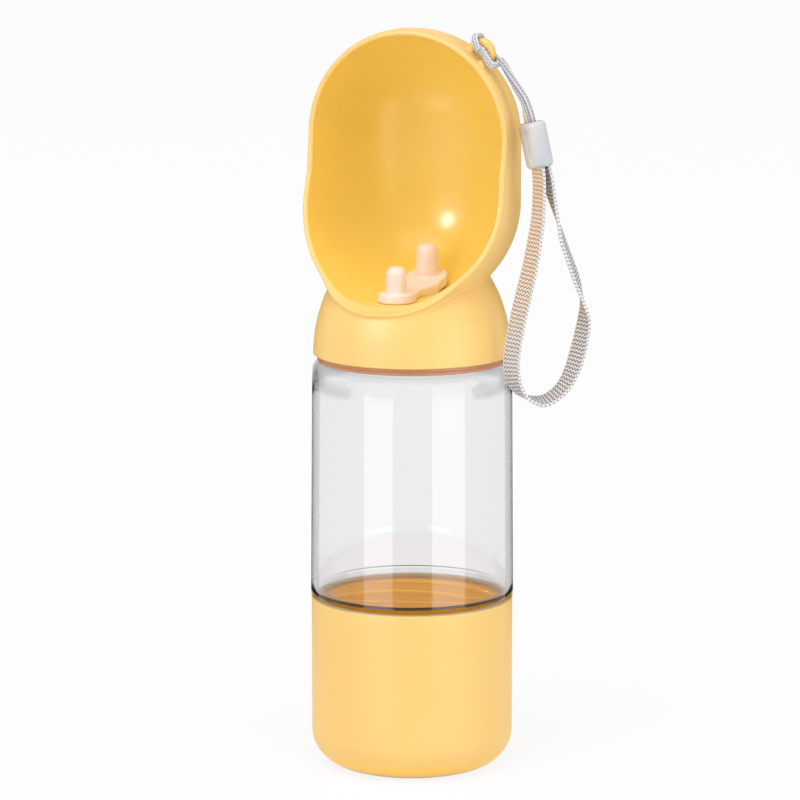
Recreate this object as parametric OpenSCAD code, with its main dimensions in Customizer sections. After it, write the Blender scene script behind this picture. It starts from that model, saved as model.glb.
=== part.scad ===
// Dog travel water bottle: a clear bottle between a food cup below and a drinking bowl above.
// Origin: centre of the base on the floor. +Z up. The bowl opens towards -Y, the strap hangs on +X.

/* [Food cup] */
// Outer radius of the food cup, which all the other round parts follow
cup_r = 33.3; // [31:0.1:36]
// Height of the food cup
cup_h = 57; // [50:0.5:70]
// Radius of the rounded bottom edge
cup_corner_r = 12; // [6:0.5:13]
// Wall of the food cup
cup_wall = 2; // [1.6:0.1:2.2]
// Wall of the food cup where its thread and the bottle's neck meet, with the neck's clearance
cup_mouth_wall = 2.9; // [2.9:0.1:4]
// Thickness of the food cup's floor
cup_floor = 2.2; // [1.6:0.1:3]

/* [Bottle] */
// Height of the clear wall between the cup and the shoulder's top
bottle_h = 79; // [60:1:110]
// How far the clear wall's lower end stands out past the food cup
bottle_step = 0.2; // [0:0.1:0.6]
// How much narrower the clear wall is just below the shoulder than at its lower end
bottle_taper = 0.6; // [0:0.1:1]
// Wall of the clear bottle
bottle_wall = 1.8; // [1.4:0.1:2]
// Radius of the rounded shoulder
shoulder_r = 2.8; // [1.5:0.1:4]
// Length of the lower threaded neck
low_neck_h = 15; // [10:0.5:18]
// Thickness of the bottle's floor
bottle_floor = 2; // [1.4:0.1:3]
// Width of the shoulder round the upper threaded neck
shoulder_w = 4.9; // [4.5:0.1:5.5]
// Length of the upper threaded neck above the shoulder
top_neck_h = 14; // [11:0.5:14]

/* [Seals] */
// Height of the seal ring under the drinking head
cap_seal_h = 2.3; // [1.5:0.1:3]
// How far the seal ring under the drinking head stands in from the shoulder's edge
cap_seal_inset = 1.7; // [1.3:0.1:2.5]
// Height of the seal ring in the food cup's mouth
base_seal_h = 1.5; // [1:0.1:2.5]
// Width of the seal ring in the food cup's mouth
base_seal_w = 1; // [0.7:0.1:1.2]

/* [Drinking head] */
// How far the collar's lower edge stands in from the shoulder's edge
collar_inset = 0.3; // [0:0.1:0.6]
// How far the drinking bowl stands out past the collar
bowl_flare = 2.9; // [2:0.1:3.5]
// Height of the straight part between the bowl's two round ends
bowl_straight = 20.7; // [15:0.1:30]
// How much of the bowl's round bottom its flat floor takes off
floor_cut = 3.5; // [3:0.1:4.5]
// Wall of the drinking bowl
bowl_wall = 1.8; // [1.4:0.1:2.2]
// How far the bowl's lower half bulges forward
bulge_forward = 9; // [7:0.1:10]
// How much smaller the forward bulge's radius is than the bowl's
bulge_inset = 0.4; // [0.1:0.1:1]
// Height of the bowl's floor above the collar's edge
floor_rise = 18.7; // [18.5:0.1:20]
// Thickness of the bowl's floor
bowl_floor = 2; // [1.6:0.1:3]
// How far the rim of the bowl stands in front of the bottle's axis
rim_forward = 5; // [3:0.1:7]

/* [Stopper] */
// Distance of the front plug in front of the axis
front_plug_y = 13; // [12.5:0.1:14]
// Radius of the front plug's flange
front_flange_r = 6; // [5:0.1:6.4]
// Radius of the front pull peg at its foot
front_peg_r = 3.4; // [2.5:0.1:4]
// Height of the front pull peg above its flange
front_peg_h = 8.6; // [6:0.1:11]
// Distance of the rear flange's front edge behind the axis, as a share of the bowl's radius
rear_edge_share = 0.169; // [0.14:0.001:0.18]
// Radius of the rear plug's flange, as a share of the bowl's radius
rear_flange_share = 0.194; // [0.17:0.001:0.195]
// Slope of the rear flange, which leans on the round bottom of the bowl
rear_slope = 18; // [17.5:0.1:20]
// Radius of the rear pull peg at its foot
rear_peg_r = 4.1; // [3:0.1:4.6]
// Height of the rear pull peg's top above the bowl's floor
rear_peg_top = 15.9; // [12:0.1:19]
// Thickness of the flanges
flange_t = 3.1; // [2:0.1:3.6]
// Radius of the plug in the front hole
front_stub_r = 2.5; // [1.5:0.1:3]
// Radius of the plug in the rear hole
rear_stub_r = 3; // [2:0.1:3.5]

/* [Strap lug] */
// Angle of the lug above the level through the bowl's upper centre
lug_angle = 49.6; // [46:0.1:52]
// Radius of the lug's ring, to the middle of its band
lug_ring_r = 3.6; // [3.5:0.1:4]
// Thickness of the lug's band, from its hole outwards
lug_t = 2.5; // [2:0.1:2.6]
// Width of the lug's band, from front to back
lug_w = 3; // [2.4:0.1:3.2]

/* [Strap] */
// Width of the woven strap
strap_w = 5.8; // [4:0.1:6]
// Thickness of the woven strap
strap_t = 1.2; // [0.8:0.1:1.3]
// Width of the doubled strap, gathered between the hitch and the slider
gathered_w = 4.4; // [3:0.1:5]
// Width of the strap where it is gathered into the hitch
hitch_w = 2.1; // [1.6:0.1:2.3]
// Thickness of the strap where it is gathered into the hitch
hitch_t = 1.3; // [1:0.1:1.3]

/* [Slider] */
// Length of the slider
slider_len = 14.8; // [12:0.1:16]
// Width of the slider across the strap
slider_w = 9.8; // [9.4:0.1:10.6]
// Thickness of the slider
slider_t = 6.4; // [6:0.1:7]
// Rounding of the slider's ends
slider_round = 1.4; // [0.5:0.1:2]

/* [Hidden] */
$fn = 96;
yellow = [0.99, 0.84, 0.52];
silicone = [0.98, 0.88, 0.80];
clear = [0.86, 0.89, 0.92, 0.35];
amber = [0.74, 0.45, 0.25];
woven = [0.82, 0.79, 0.76];
pale = [0.84, 0.83, 0.83];

tiny = 0.01;
cut_past = 1;
seat_gap = 0.05;
thread_gap = 0.08;

// Radii that follow the food cup's, from the floor up
low_neck_r = cup_r - cup_mouth_wall;
bottle_r_low = cup_r + bottle_step;
bottle_r_top = bottle_r_low - bottle_taper;
top_neck_r = bottle_r_top - shoulder_w;
cap_seal_r = bottle_r_top - cap_seal_inset;
collar_r = bottle_r_top - collar_inset;
bowl_r = collar_r + bowl_flare;
bulge_r = bowl_r - bulge_inset;

// Heights along the axis, from the floor up
seam_z = cup_h;
low_neck_z = seam_z - low_neck_h;
shoulder_z = seam_z + bottle_h;
top_neck_z = shoulder_z + top_neck_h;
collar_z = shoulder_z + cap_seal_h;
floor_z = collar_z + floor_rise;
chamber_z = floor_z - bowl_floor;
bowl_low_z = floor_z + bowl_r - floor_cut;
bowl_top_z = bowl_low_z + bowl_straight;

// Food cup
cup_bore_r = low_neck_r + thread_gap;
seal_ledge_z = seam_z - base_seal_h;
seal_pocket_r = low_neck_r + seat_gap + base_seal_w + seat_gap;
cup_store_r = cup_r - cup_wall;
cup_store_corner_r = cup_corner_r - cup_wall;
cup_land_z = low_neck_z - 1;
cup_land_slope = 1;

// Bottle
low_step = bottle_r_low - low_neck_r;
top_step = bottle_r_top - top_neck_r;

// Drinking head
dome_z = collar_z - 0.9;
dome_h = 42.4;
socket_r = top_neck_r + thread_gap;
socket_z = top_neck_z + 0.3;
chamber_r = top_neck_r - bottle_wall - 1;
bulge_z = bowl_low_z - 0.4;
lip_centre_y = 14;
lip_centre_rise = 23;
lip_r = 26;
lip_skin_y = 17.8;
lip_skin_rise = 22.7;
lip_skin_r = 28;

// Rim of the bowl seen from the side, as three Bezier pieces of [Y, Z] control points
rim_low_z = bowl_low_z - 10;
rim_bend_z = bowl_top_z + 4.3;
rim_low_y = -12;
lip_edge = [2.2 - collar_r, floor_z - 1.4];
rim_steps = 14;
rim_upper = [
    [-rim_forward, rim_bend_z], [-rim_forward - 0.3, rim_bend_z - 13],
    [rim_low_y + 3.2, rim_low_z + 9], [rim_low_y, rim_low_z]
];
rim_lower = [
    [rim_low_y, rim_low_z], [rim_low_y - 3.4, rim_low_z - 9.5],
    [lip_edge[0] + 6.5, lip_edge[1] + 2.2], lip_edge
];

// Stopper
front_stub_h = bowl_floor;
bridge_w = 8.4;
peg_taper = 0.35;
peg_round = 1.6;
rear_thickness = flange_t + 0.5;
rear_edge_y = rear_edge_share * bowl_r;
rear_flange_r = rear_flange_share * bowl_r;
rear_centre_y = rear_edge_y + rear_flange_r * cos(rear_slope);
rear_centre_z = floor_z + seat_gap + rear_flange_r * sin(rear_slope);

// Strap lug: a ring of flat band, half sunk in the bowl's upper end
lug_out = 1.9;
lug_round = 0.9;
lug_x = (bowl_r + lug_out) * cos(lug_angle);
lug_z = bowl_top_z + (bowl_r + lug_out) * sin(lug_angle);
lug_at = [lug_x, 0, lug_z];

// Hitch: the gathered strap over the upper side of the lug's band and into its hole, and out of
// the hole over the lower side, from the lug's centre: [point, direction of the strap's width]
hitch_over = [
    [[6.4, 1.4, -1.8], [0.4, 0.1, 0.9]],
    [[5.1, 2.5, 0.1], [0.4, 0, 0.9]],
    [[3.6, 2.6, 2], [0.7, -0.1, 0.7]],
    [[2.2, 2.6, 3.7], [0.7, -0.1, 0.7]],
    [[0.7, 2.2, 5.1], [0.7, -0.4, 0.6]],
    [[0, 1.5, 5.7], [0.8, -0.4, 0.4]],
    [[-0.6, 0.7, 5.9], [0.8, -0.5, 0.2]],
    [[-1.1, -0.3, 5.9], [0.9, -0.4, 0.2]],
    [[-1.3, -1.2, 5.7], [0.9, -0.3, 0.2]],
    [[-1.3, -2, 5.1], [0.9, -0.2, 0.2]],
    [[-1.2, -2.5, 4.3], [1, -0.1, 0.2]],
    [[-0.7, -2.6, 3], [0.9, 0, 0.3]],
    [[-0.2, -2.5, 1.7], [0.9, -0.1, 0.3]],
    [[0.1, -1.7, 0.8], [1, 0.2, 0.2]],
    [[0.3, -0.8, 0.3], [1, 0.2, 0.2]]
];
hitch_under = [
    [[0.5, -1.1, 0.6], [1, 0, 0.5]],
    [[1.5, -2.2, 1], [0.4, -0.3, 0.8]],
    [[2.5, -2.7, -0.2], [0.7, -0.2, 0.7]],
    [[3.3, -2.7, -1.7], [0.8, -0.1, 0.6]],
    [[4.2, -2.6, -3], [0.8, 0.1, 0.7]],
    [[5, -2.2, -3.7], [0.5, -0.1, 0.8]],
    [[5.9, -1.6, -3.5], [0.3, -0.2, 0.8]]
];

// Slider and the straight stretch of strap in it
slider_lean = -13;
slider_mid = lug_at + [19.6, -0.9, -28.7];
strap_face_turn = -26.5;
strand_pair_t = 2 * strap_t + 0.2;
slot_w = strap_w + 1;
slot_t = 4.2;
groove_len = 10;
groove_w = 1.8;
groove_depth = 0.35;

// Route of the doubled upper run, from the lug's centre: [point, direction of the strap's width]
upper_route = [
    [[7.4, -0.7, -1.7], [0.2, -1, 0.2]],
    [[9.2, -0.7, -3.2], [0.4, -1, 0.2]],
    [[11.4, -0.7, -5.8], [0.6, -0.9, 0.2]],
    [[13.6, -0.8, -9], [0.8, -0.6, 0.1]],
    [[15.4, -0.9, -12.2], [0.9, -0.5, 0.1]],
    [[16.4, -0.9, -14.8], [0.9, -0.45, 0.1]],
    [[17.65, -0.9, -20.2], [0.9, -0.45, 0.1]],
    [[19.6, -0.9, -28.7], [0.9, -0.45, 0.1]],
    [[20.85, -0.9, -34.2], [0.9, -0.45, 0.1]]
];

// Route of the hand loop, from the slider's left exit round to its right exit, likewise
loop_route = [
    [[20.8, -2.2, -35], [0.9, -0.45, 0]],
    [[21.2, -1.8, -40.7], [0.9, -0.45, 0]],
    [[21.1, -1.6, -46.2], [0.9, -0.45, 0]],
    [[20.9, -1.9, -52.7], [0.92, -0.4, 0]],
    [[20.2, -2.6, -59.2], [0.95, -0.3, 0]],
    [[19.4, -3.4, -65.7], [0.97, -0.2, 0]],
    [[18.3, -4.3, -72.2], [1, -0.1, 0]],
    [[17, -5.2, -78.7], [1, 0, 0]],
    [[15.8, -6, -85.2], [1, 0, 0]],
    [[14.8, -6.8, -91.7], [1, 0, 0]],
    [[14.1, -7.2, -98.2], [1, 0, 0]],
    [[14.3, -7, -103.7], [1, -0.1, -0.1]],
    [[15.3, -6.1, -107.4], [0.95, -0.3, -0.1]],
    [[17.1, -4.4, -110.4], [0.8, -0.5, -0.1]],
    [[19.4, -2.2, -112.1], [0.6, -0.8, -0.2]],
    [[22.3, 0.6, -112.7], [0.4, -0.8, -0.45]],
    [[25.2, 3.2, -110.9], [0.6, -0.6, -0.5]],
    [[27.8, 5.6, -107.4], [0.8, -0.4, -0.4]],
    [[29.5, 7.4, -102.9], [0.9, -0.2, -0.4]],
    [[30.6, 8.6, -98.2], [0.9, -0.1, -0.4]],
    [[31.6, 9.6, -92.8], [0.95, -0.2, -0.2]],
    [[32.3, 10.2, -87.9], [0.9, -0.35, -0.2]],
    [[32.4, 10.1, -83.7], [0.7, -0.65, -0.2]],
    [[31.9, 9.5, -79.7], [0.45, -0.9, 0]],
    [[31.1, 8.5, -75.7], [0.2, -1, 0]],
    [[30, 7.3, -71.2], [0.1, -1, 0]],
    [[28.5, 5.9, -65.7], [0.15, -1, 0]],
    [[26.9, 4.4, -59.8], [0.2, -1, 0]],
    [[25.6, 3.2, -53.2], [0.45, -0.9, 0]],
    [[24.1, 2.2, -46.4], [0.7, -0.7, 0]],
    [[22.9, 1, -40.4], [0.9, -0.45, 0]],
    [[21.9, 0.1, -35], [0.9, -0.45, 0]]
];

function bezier(p, t) =
    pow(1 - t, 3) * p[0] + 3 * t * pow(1 - t, 2) * p[1]
    + 3 * t * t * (1 - t) * p[2] + pow(t, 3) * p[3];

// Points of a Bezier piece, without its first point
function curve(p, steps) = [for (i = [1 : steps]) bezier(p, i / steps)];

// Points of an arc about c, from angle a to angle b
function arc(c, r, a, b, steps) =
    [for (i = [0 : steps]) let (t = a + (b - a) * i / steps) c + r * [cos(t), sin(t)]];

function unit(v) = v / norm(v);

// Direction of a route at point i
function heading(route, i) =
    unit(route[min(i + 1, len(route) - 1)][0] - route[max(i - 1, 0)][0]);

// One ring of a flat strap: eight points of a rounded oblong
function strap_ring(route, i, w, t) =
    let (
        mid = route[i][0],
        along = heading(route, i),
        face = unit(cross(along, route[i][1])),
        side = cross(face, along),
        edge = 0.82
    )
    [for (q = [[1, 0.5], [edge, 1], [-edge, 1], [-1, 0.5], [-1, -0.5], [-edge, -1], [edge, -1], [1, -0.5]])
        mid + side * q[0] * w / 2 + face * q[1] * t / 2];

// A flat strap swept along a route
module strap(route, w, t) {
    sides = 8;
    rings = len(route);
    last = (rings - 1) * sides;
    walls = [
        for (i = [0 : rings - 2], j = [0 : sides - 1])
            let (k = (j + 1) % sides)
            each [
                [i * sides + j, (i + 1) * sides + k, i * sides + k],
                [i * sides + j, (i + 1) * sides + j, (i + 1) * sides + k]
            ]
    ];
    ends = [
        [for (j = [0 : sides - 1]) j],
        [for (j = [sides - 1 : -1 : 0]) last + j]
    ];
    polyhedron(
        points = [for (i = [0 : rings - 1]) each strap_ring(route, i, w, t)],
        faces = concat(walls, ends),
        convexity = 10
    );
}

// A ring of rectangular section standing on the level z
module flat_ring(inner_r, outer_r, z, h) {
    translate([0, 0, z])
        rotate_extrude()
            translate([inner_r, 0])
                square([outer_r - inner_r, h]);
}

// A rectangle with rounded corners, about the origin
module rounded_rect(w, h, r) {
    square([w - 2 * r, h], center = true);
    square([w, h - 2 * r], center = true);
    for (x = [-1, 1], y = [-1, 1])
        translate([x * (w / 2 - r), y * (h / 2 - r)])
            circle(r = r, $fn = 32);
}

// A tapered peg with a rounded top, standing on the origin
module peg(r, h) {
    top_r = r - peg_taper;
    rotate_extrude()
        polygon(concat(
            [[0, 0], [r, 0]],
            arc([top_r - peg_round, h - peg_round], peg_round, 0, 90, 8),
            [[0, h]]
        ));
}

module base_cup() {
    color(yellow)
        rotate_extrude()
            polygon(concat(
                [[0, 0]],
                arc([cup_r - cup_corner_r, cup_corner_r], cup_corner_r, -90, 0, 16),
                [[cup_r, seam_z - 0.4], [cup_r - 0.4, seam_z]],
                [[seal_pocket_r, seam_z], [seal_pocket_r, seal_ledge_z], [cup_bore_r, seal_ledge_z]],
                [[cup_bore_r, cup_land_z], [cup_store_r, cup_land_z - cup_land_slope]],
                arc([cup_store_r - cup_store_corner_r, cup_floor + cup_store_corner_r],
                    cup_store_corner_r, 0, -90, 12),
                [[0, cup_floor]]
            ));
}

module base_seal() {
    color(silicone)
        flat_ring(low_neck_r + seat_gap, seal_pocket_r - seat_gap, seal_ledge_z, base_seal_h);
}

module bottle() {
    inner_low_r = low_neck_r - bottle_wall;
    inner_top_r = top_neck_r - bottle_wall;
    shoulder_mid = [bottle_r_top - shoulder_r, shoulder_z - shoulder_r];
    inner_shoulder_r = shoulder_r - 1;
    inner_shoulder = [
        bottle_r_top - bottle_wall - inner_shoulder_r,
        shoulder_z - bottle_wall - inner_shoulder_r
    ];
    color(clear)
        rotate_extrude()
            polygon(concat(
                [[0, low_neck_z], [low_neck_r - 0.6, low_neck_z], [low_neck_r, low_neck_z + 0.6]],
                [[low_neck_r, seam_z], [bottle_r_low - 0.3, seam_z], [bottle_r_low, seam_z + 0.3]],
                arc(shoulder_mid, shoulder_r, 0, 90, 10),
                [[top_neck_r, shoulder_z], [top_neck_r, top_neck_z - 0.5], [top_neck_r - 0.5, top_neck_z]],
                [[inner_top_r, top_neck_z], [inner_top_r, shoulder_z - bottle_wall]],
                arc(inner_shoulder, inner_shoulder_r, 90, 0, 6),
                [[bottle_r_low - bottle_wall, seam_z + bottle_wall + low_step / 2]],
                [[inner_low_r, seam_z + bottle_wall - 1]],
                [[inner_low_r, low_neck_z + bottle_floor], [0, low_neck_z + bottle_floor]]
            ));
}

module cap_seal() {
    color(amber)
        flat_ring(top_neck_r + seat_gap, cap_seal_r, shoulder_z, cap_seal_h);
}

// Collar and bowl as one turned form, closed
module head_form() {
    rotate_extrude()
        intersection() {
            translate([0, collar_z])
                square([2 * bowl_r, 3 * bowl_r + bowl_straight]);
            union() {
                polygon(concat(
                    [[0, collar_z]],
                    [for (i = [0 : 24])
                        let (z = collar_z + (dome_z + dome_h - collar_z) * i / 24)
                        [collar_r * sqrt(max(0, 1 - pow((z - dome_z) / dome_h, 2))), z]]
                ));
                translate([0, bowl_low_z])
                    circle(r = bowl_r);
                translate([0, bowl_low_z])
                    square([bowl_r, bowl_straight]);
                translate([0, bowl_top_z])
                    circle(r = bowl_r);
            }
        }
}

// The bowl's inside: straight wall, two round ends, the forward bulge and the lip, above a flat floor
module bowl_cavity() {
    inner_r = bowl_r - bowl_wall;
    room = 3 * bowl_r;
    intersection() {
        translate([-room, -room, floor_z])
            cube([2 * room, 2 * room, 2 * room]);
        union() {
            translate([0, 0, bowl_low_z])
                sphere(r = inner_r);
            translate([0, 0, bowl_low_z])
                cylinder(r = inner_r, h = bowl_straight);
            translate([0, 0, bowl_top_z])
                sphere(r = inner_r);
            translate([0, -bulge_forward, bulge_z])
                sphere(r = bulge_r - bowl_wall);
            translate([0, -lip_centre_y, floor_z + lip_centre_rise])
                sphere(r = lip_r);
        }
    }
}

// Everything in front of the rim, seen from the side and swept across the bowl
module front_cut() {
    far = 2 * bowl_r;
    outline = concat(
        [[-rim_forward, bowl_top_z + far], [-rim_forward, rim_bend_z]],
        curve(rim_upper, rim_steps),
        curve(rim_lower, rim_steps),
        [[-far, lip_edge[1] - 1], [-far, bowl_top_z + far]]
    );
    rotate([90, 0, 90])
        linear_extrude(height = 2 * far, center = true)
            polygon(outline);
}

module lug() {
    translate(lug_at)
        rotate([90, 0, 0])
            rotate_extrude()
                translate([lug_ring_r, 0])
                    rounded_rect(lug_t, lug_w, lug_round);
}

module drinking_head() {
    color(yellow)
        difference() {
            union() {
                head_form();
                translate([0, -bulge_forward, bulge_z])
                    sphere(r = bulge_r);
                translate([0, -lip_skin_y, floor_z + lip_skin_rise])
                    sphere(r = lip_skin_r);
                lug();
            }
            bowl_cavity();
            front_cut();
            translate([0, 0, collar_z - cut_past])
                cylinder(r = socket_r, h = socket_z - collar_z + cut_past);
            translate([0, 0, socket_z - tiny])
                cylinder(r = chamber_r, h = chamber_z - socket_z + tiny);
            translate([0, -front_plug_y, chamber_z - cut_past])
                cylinder(r = front_stub_r + thread_gap, h = bowl_floor + 2 * cut_past);
            translate([0, rear_centre_y, chamber_z - cut_past])
                cylinder(r = rear_stub_r + thread_gap, h = rear_centre_z - chamber_z + 2 * cut_past);
        }
}

module stopper() {
    flange_z = floor_z + seat_gap;
    rear_foot_z = rear_centre_z + rear_thickness / cos(rear_slope) - 1;
    color(silicone)
        union() {
            translate([0, -front_plug_y, flange_z])
                cylinder(r = front_flange_r, h = flange_t);
            translate([0, -front_plug_y, flange_z + flange_t])
                peg(front_peg_r, front_peg_h);
            translate([0, -front_plug_y, flange_z - front_stub_h])
                cylinder(r = front_stub_r, h = front_stub_h + tiny);
            translate([0, rear_edge_y, flange_z])
                rotate([rear_slope, 0, 0])
                    translate([0, rear_flange_r, 0])
                        cylinder(r = rear_flange_r, h = rear_thickness);
            translate([0, rear_centre_y, rear_foot_z])
                peg(rear_peg_r, floor_z + rear_peg_top - rear_foot_z);
            translate([0, rear_centre_y, chamber_z + seat_gap])
                cylinder(r = rear_stub_r, h = rear_foot_z - chamber_z);
            translate([-bridge_w / 2, -front_plug_y, flange_z])
                cube([bridge_w, front_plug_y + rear_edge_y + 2, flange_t]);
        }
}

module strap_hitch() {
    color(woven)
        translate(lug_at) {
            strap(hitch_over, hitch_w, hitch_t);
            strap(hitch_under, hitch_w, hitch_t);
        }
}

module strap_upper() {
    color(woven)
        translate(lug_at)
            strap(upper_route, gathered_w, strand_pair_t);
}

module strap_loop() {
    color(woven)
        translate(lug_at)
            strap(loop_route, strap_w, strap_t);
}

module strap_slider() {
    end_r = slider_t / 2;
    side = (slider_w - slider_t) / 2;
    color(pale)
        translate(slider_mid)
            rotate([0, slider_lean, 0])
                rotate([0, 0, strap_face_turn])
                    difference() {
                        union() {
                            for (s = [-1, 1])
                                translate([s * side, 0, 0])
                                    rotate_extrude()
                                        intersection() {
                                            translate([0, -slider_len])
                                                square([slider_len, 2 * slider_len]);
                                            rounded_rect(slider_t, slider_len, slider_round);
                                        }
                            rotate([90, 0, 90])
                                linear_extrude(height = 2 * side, center = true)
                                    rounded_rect(slider_t, slider_len, slider_round);
                        }
                        cube([slot_w, slot_t, slider_len + 2 * cut_past], center = true);
                        for (s = [-1, 1])
                            translate([0, s * end_r, 0])
                                cube([groove_w, 2 * groove_depth, groove_len], center = true);
                    }
}

base_cup();
base_seal();
bottle();
cap_seal();
drinking_head();
stopper();
strap_hitch();
strap_upper();
strap_loop();
strap_slider();
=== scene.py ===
import math

import bpy
import numpy as np
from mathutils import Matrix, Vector


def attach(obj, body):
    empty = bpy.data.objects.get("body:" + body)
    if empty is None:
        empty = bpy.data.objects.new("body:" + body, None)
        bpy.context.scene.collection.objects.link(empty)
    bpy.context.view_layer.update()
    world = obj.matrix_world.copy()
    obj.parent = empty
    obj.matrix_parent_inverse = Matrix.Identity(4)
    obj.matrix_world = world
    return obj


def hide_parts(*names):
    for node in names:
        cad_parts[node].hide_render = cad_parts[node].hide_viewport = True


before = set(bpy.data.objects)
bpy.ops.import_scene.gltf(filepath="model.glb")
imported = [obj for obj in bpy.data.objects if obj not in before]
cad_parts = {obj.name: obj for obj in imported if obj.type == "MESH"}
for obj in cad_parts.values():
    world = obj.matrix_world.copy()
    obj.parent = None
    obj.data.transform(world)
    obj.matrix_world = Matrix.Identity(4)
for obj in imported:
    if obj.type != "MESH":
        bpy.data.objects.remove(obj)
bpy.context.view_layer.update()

MM = 0.001
TURN = 2 * math.pi


def add_object(name, data):
    obj = bpy.data.objects.new(name, data)
    bpy.context.scene.collection.objects.link(obj)
    return obj


# ---------------------------------------------------------------- camera

AZIMUTH = math.radians(23.8)
VIEW_RIGHT = Vector((math.cos(AZIMUTH), math.sin(AZIMUTH), 0))
VIEW_BACK = Vector((math.sin(AZIMUTH), -math.cos(AZIMUTH), 0))
# All in metres: how far the camera stands back and to the side, and the heights of it and its aim
CAMERA_BACK, CAMERA_SIDE, CAMERA_HEIGHT, AIM_HEIGHT = 1.45, -0.004, 0.392, 0.12247


def toward(azimuth, elevation):
    """The direction at degrees right of the camera's own, as the object sees it, and degrees up."""
    a, e = AZIMUTH + math.radians(azimuth), math.radians(elevation)
    return Vector((math.sin(a) * math.cos(e), -math.cos(a) * math.cos(e), math.sin(e)))


def make_camera():
    data = bpy.data.cameras.new("camera")
    data.lens = 201.5
    data.sensor_width = 36
    data.clip_start = 0.05
    data.clip_end = 60
    camera = add_object("camera", data)
    pan = VIEW_RIGHT * CAMERA_SIDE
    place = VIEW_BACK * CAMERA_BACK + Vector((0, 0, CAMERA_HEIGHT)) + pan
    aim = Vector((0, 0, AIM_HEIGHT)) + pan
    camera.location = place
    camera.rotation_euler = (aim - place).to_track_quat("-Z", "Y").to_euler()
    bpy.context.scene.camera = camera


make_camera()
bpy.context.scene.view_settings.view_transform = "Standard"

# ---------------------------------------------------------------- materials


def srgb(r, g, b):
    """A colour given as 0 to 255 levels, in the linear values that a shader takes."""
    out = []
    for c in (r, g, b):
        c = c / 255
        out.append(c / 12.92 if c <= 0.04045 else ((c + 0.055) / 1.055) ** 2.4)
    return (*out, 1)


class Shader:
    """A node material: the Principled shader's plain values, with helpers for what varies."""

    def __init__(self, name, **values):
        self.material = bpy.data.materials.new(name)
        self.material.use_nodes = True
        self.tree = self.material.node_tree
        self.main = self.tree.nodes["Principled BSDF"]
        for key, value in values.items():
            self.main.inputs[key.replace("_", " ")].default_value = value

    def node(self, kind, inputs=(), **settings):
        n = self.tree.nodes.new(kind)
        for key, value in settings.items():
            setattr(n, key, value)
        for key, value in dict(inputs).items():
            if isinstance(value, bpy.types.NodeSocket):
                self.tree.links.new(value, n.inputs[key])
            else:
                n.inputs[key].default_value = value
        return n

    def link(self, out, to):
        self.tree.links.new(out, self.main.inputs[to] if isinstance(to, str) else to)

    def place(self):
        return self.node("ShaderNodeTexCoord").outputs["Object"]

    def noise(self, scale, detail=2, rough=0.5, at=None):
        n = self.node("ShaderNodeTexNoise", {"Scale": scale, "Detail": detail, "Roughness": rough})
        self.tree.links.new(at or self.place(), n.inputs["Vector"])
        return n.outputs["Fac"]

    def ramp(self, fac, stops):
        n = self.node("ShaderNodeValToRGB", {"Fac": fac})
        while len(n.color_ramp.elements) < len(stops):
            n.color_ramp.elements.new(0.5)
        for e, (at, colour) in zip(n.color_ramp.elements, stops):
            e.position = at
            e.color = colour if isinstance(colour, tuple) else (colour, colour, colour, 1)
        return n.outputs["Color"]

    def span(self, fac, lo, hi):
        n = self.node("ShaderNodeMapRange", {"Value": fac, "To Min": lo, "To Max": hi})
        return n.outputs["Result"]

    def math(self, op, a, b=0.0):
        return self.node("ShaderNodeMath", {0: a, 1: b}, operation=op).outputs[0]

    def mix(self, fac, a, b):
        return self.node("ShaderNodeMix", {0: fac, 6: a, 7: b}, data_type="RGBA").outputs[2]

    def bump(self, height, distance, strength=1.0):
        n = self.node("ShaderNodeBump",
                      {"Height": height, "Distance": distance, "Strength": strength})
        self.link(n.outputs["Normal"], "Normal")


def moulded(name, colour, shade, rough, grain, gloss=0.5, glow=None):
    """Moulded plastic: slow colour drift, fine grain in the bump, and uneven gloss.

    glow is an emitted colour: a painted glow that stands in for the light that comes through a thin
    wall."""
    m = Shader(name, IOR=1.49, Specular_IOR_Level=gloss, Subsurface_Weight=0.06,
               Subsurface_Scale=0.004)
    # Painted glow: the surface gives off a colour of its own, in place of light let through a thin
    # wall
    if glow:
        m.main.inputs["Emission Color"].default_value = srgb(*glow)
        m.main.inputs["Emission Strength"].default_value = 0.36
    m.main.inputs["Subsurface Radius"].default_value = (1.0, 0.6, 0.25)
    slow = m.noise(28, 3)
    m.link(m.ramp(slow, [(0.3, srgb(*shade)), (0.7, srgb(*colour))]), "Base Color")
    m.link(m.span(m.noise(60, 4), rough - 0.04, rough + 0.04), "Roughness")
    m.bump(m.noise(1900, 2, 0.6), 0.00004, grain)
    return m.material


SATIN, SATIN_SHADE = (250, 208, 124), (249, 204, 117)
yellow = moulded("yellow_satin", SATIN, SATIN_SHADE, 0.42, 0.35)
# The bowl's inside: a smoother finish than the outside, and a lighter, deeper yellow, which is
# painted light on its inner walls
yellow_inside = moulded("yellow_gloss_painted_light", (253, 220, 114), (252, 216, 104), 0.25, 0.06, 0.32)
cup_yellow = moulded("cup_satin", SATIN, SATIN_SHADE, 0.44, 0.4)
# Copies of the cup's yellow for its inner faces, each with a painted glow; the thread zone's deeper
# orange is painted light and shade of the cup's inside seen through the clear neck
cup_inside_painted_glow = moulded("cup_inside_painted_glow", (250, 206, 112), (249, 202, 104), 0.3, 0.1, 0.15,
                     glow=(128, 88, 24))
cup_thread_painted_glow = moulded("cup_thread_painted_glow", (248, 188, 44), (246, 182, 38), 0.3, 0.1, 0.1,
                     glow=(224, 162, 30))


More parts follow.
